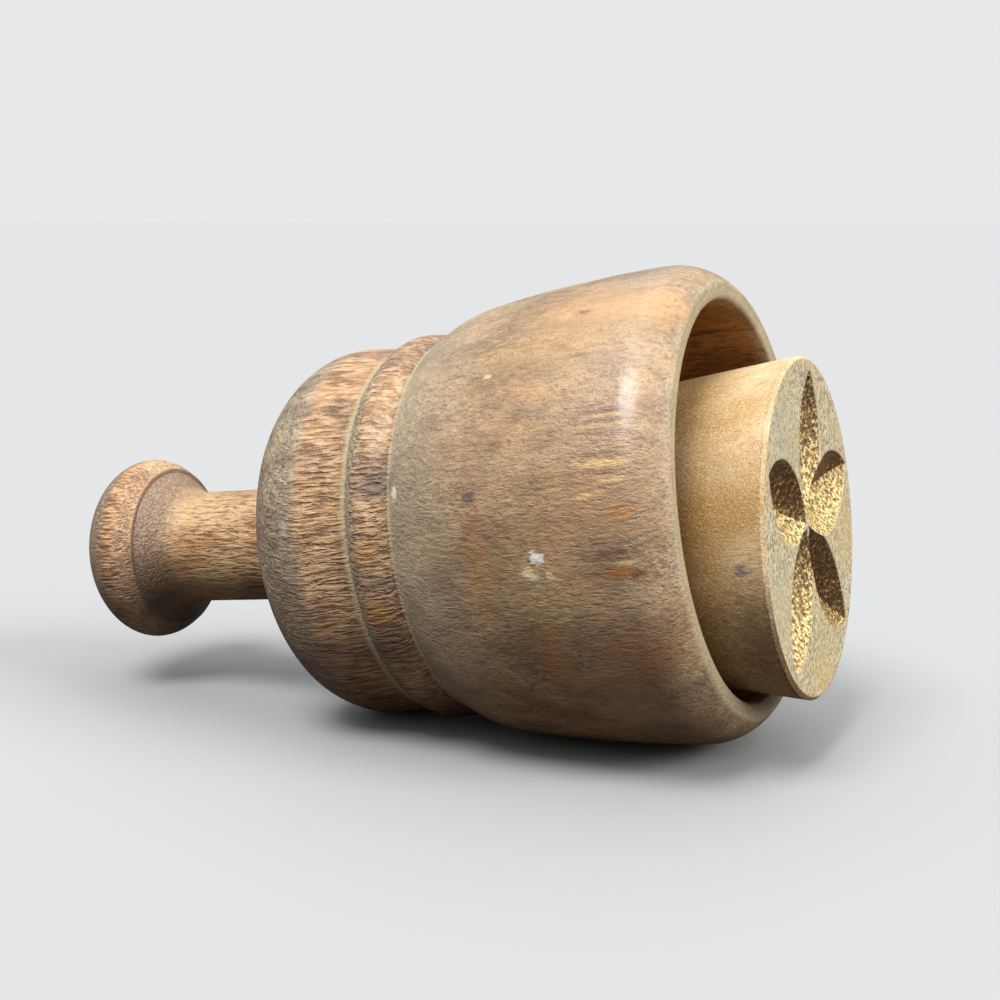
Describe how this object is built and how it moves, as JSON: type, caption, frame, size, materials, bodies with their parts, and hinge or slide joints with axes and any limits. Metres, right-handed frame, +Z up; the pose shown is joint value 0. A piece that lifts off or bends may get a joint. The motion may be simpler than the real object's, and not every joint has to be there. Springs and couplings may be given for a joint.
{
  "type": "butter stamp",
  "caption": "Turned wooden butter stamp lying on its side: a bell-shaped cup with a knobbed plunger that slides through its back and prints a carved flower on small pats of butter.",
  "frame": {"origin": "on the surface that it lies on, under the middle of its bounding box", "axes": "+X from the knob towards the carved face, level; +Z up; the case's own axis rises 8.7 degrees towards +X, and the plunger's 6.1 degrees"},
  "size_m": [0.0989, 0.0556, 0.0566],
  "materials": {
    "case_wood": "worn, unvarnished, grey-brown with warm patches and fine dark flecks",
    "handle_wood": "worn smooth, golden brown with short dark flecks",
    "stamp_wood": "pale, close-grained, with darker rough carving"
  },
  "bodies": {
    "case": {"case": "case_wood"},
    "handle": {"handle": "handle_wood"},
    "stamp": {"stamp": "stamp_wood"}
  },
  "joints": [
    {"name": "plunger_slide", "type": "slide", "parent": "case", "child": "handle", "axis": [0.9944, 0, 0.1055], "range_m": [-0.0187, 0.0182]},
    {"name": "plunger_turn", "type": "hinge", "parent": "handle", "child": "stamp", "pos_m": [0.03994, 0, 0.02644], "axis": [0.9944, 0, 0.1055], "continuous": true}
  ]
}
